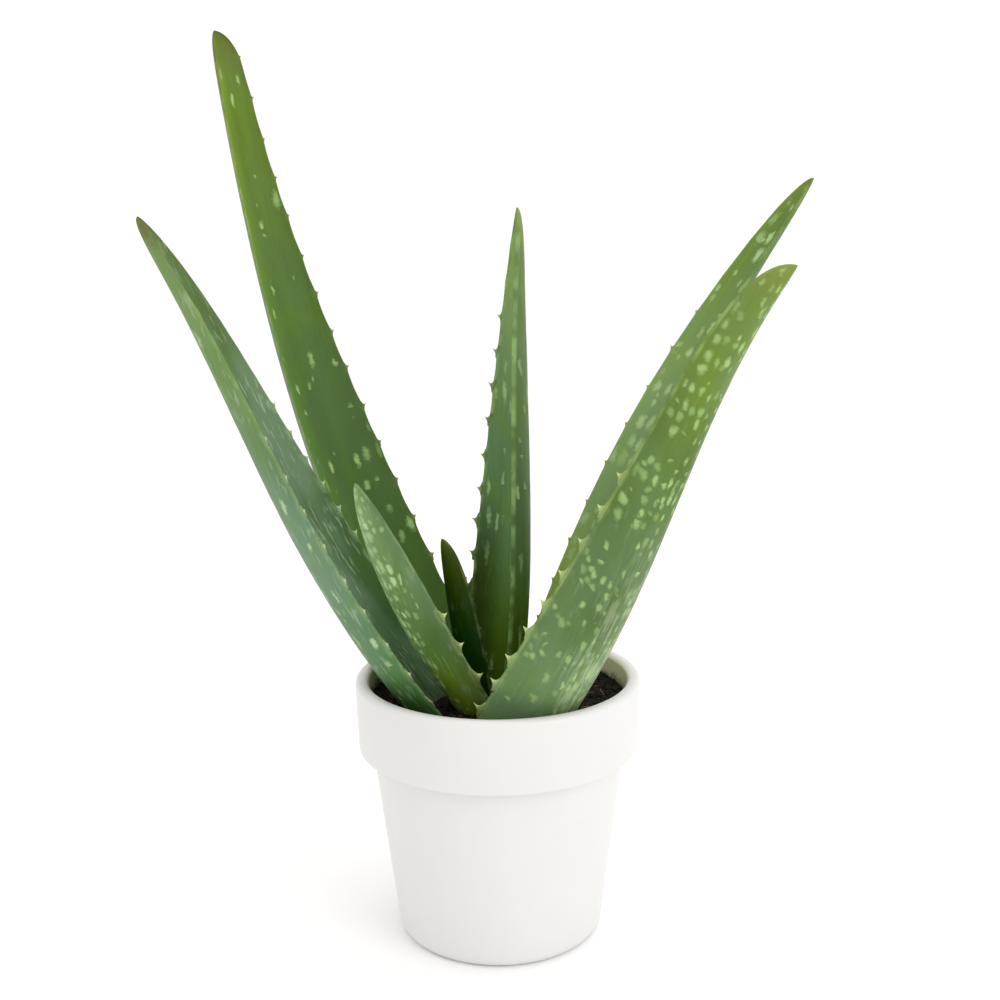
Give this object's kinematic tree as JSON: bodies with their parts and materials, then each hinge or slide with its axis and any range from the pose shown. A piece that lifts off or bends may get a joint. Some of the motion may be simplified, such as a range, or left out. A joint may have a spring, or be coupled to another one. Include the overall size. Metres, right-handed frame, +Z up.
{
  "type": "potted aloe plant",
  "caption": "Succulent rosette of long toothed leaves growing from a short stem in potting mix, in a plain white glazed pot with a straight collar.",
  "frame": {"origin": "centre of the pot's flat underside", "axes": "+Z up along the pot's axis; the plant is seen from -Y, with +X to the viewer's right"},
  "size_m": [0.2874, 0.2314, 0.4229],
  "materials": {
    "white_glaze": "satin white glaze",
    "potting_mix": "matt dark potting mix with fibres and grit",
    "stem_bark": "matt fleshy stem",
    "leaf_heart_skin": "waxy satin leaf skin",
    "leaf_upright_skin": "waxy satin leaf skin",
    "leaf_front_small_skin": "waxy satin leaf skin with pale spots",
    "leaf_right_back_skin": "waxy satin leaf skin with pale spots",
    "leaf_left_tall_skin": "waxy satin leaf skin",
    "leaf_left_low_skin": "waxy satin leaf skin with pale streaks",
    "leaf_right_front_skin": "waxy satin leaf skin with many pale spots"
  },
  "bodies": {
    "root": {"pot": "white_glaze", "soil": "potting_mix", "stem": "stem_bark", "leaf_heart": "leaf_heart_skin", "leaf_upright": "leaf_upright_skin", "leaf_front_small": "leaf_front_small_skin", "leaf_right_back": "leaf_right_back_skin", "leaf_left_tall": "leaf_left_tall_skin", "leaf_left_low": "leaf_left_low_skin", "leaf_right_front": "leaf_right_front_skin"}
  },
  "joints": []
}
